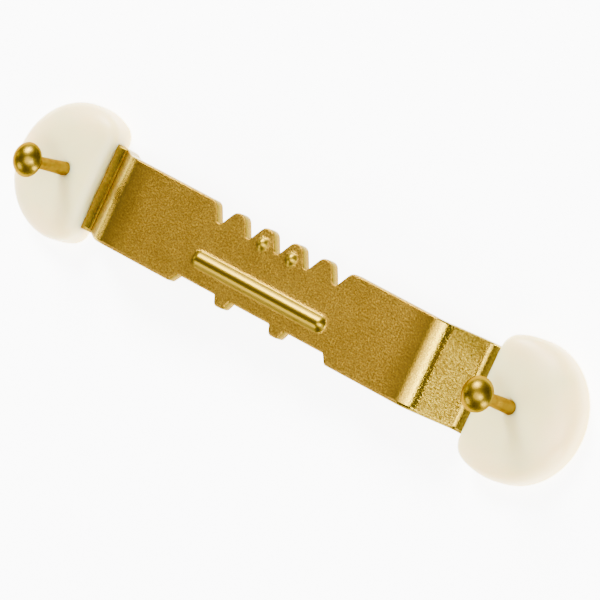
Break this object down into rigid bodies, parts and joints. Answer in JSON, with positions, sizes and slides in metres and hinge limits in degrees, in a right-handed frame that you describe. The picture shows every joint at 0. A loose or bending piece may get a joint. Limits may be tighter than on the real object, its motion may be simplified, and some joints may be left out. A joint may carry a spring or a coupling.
{
  "type": "sawtooth picture hanger",
  "caption": "Sawtooth picture hanger: stamped brass-plated strip with a raised toothed bridge, flat feet in slotted white nylon holders, and a round-head nail standing in each holder.",
  "frame": {"origin": "on the plane that the undersides of both nylon holders lie in, midway between the two nails", "axes": "+X along the strip, +Y towards the teeth, +Z away from the picture frame, towards the nail heads"},
  "size_m": [0.076, 0.0148, 0.0107],
  "materials": {
    "plated_brass": "satin brass plating with a fine grain, burnished on the bends",
    "white_nylon": "moulded, softly glossy, slightly translucent",
    "nail_brass": "smooth, brass plated"
  },
  "bodies": {
    "root": {"hanger_plate": "plated_brass", "nail_holder_left": "white_nylon", "nail_holder_right": "white_nylon", "nail_left": "nail_brass", "nail_right": "nail_brass"}
  },
  "joints": []
}
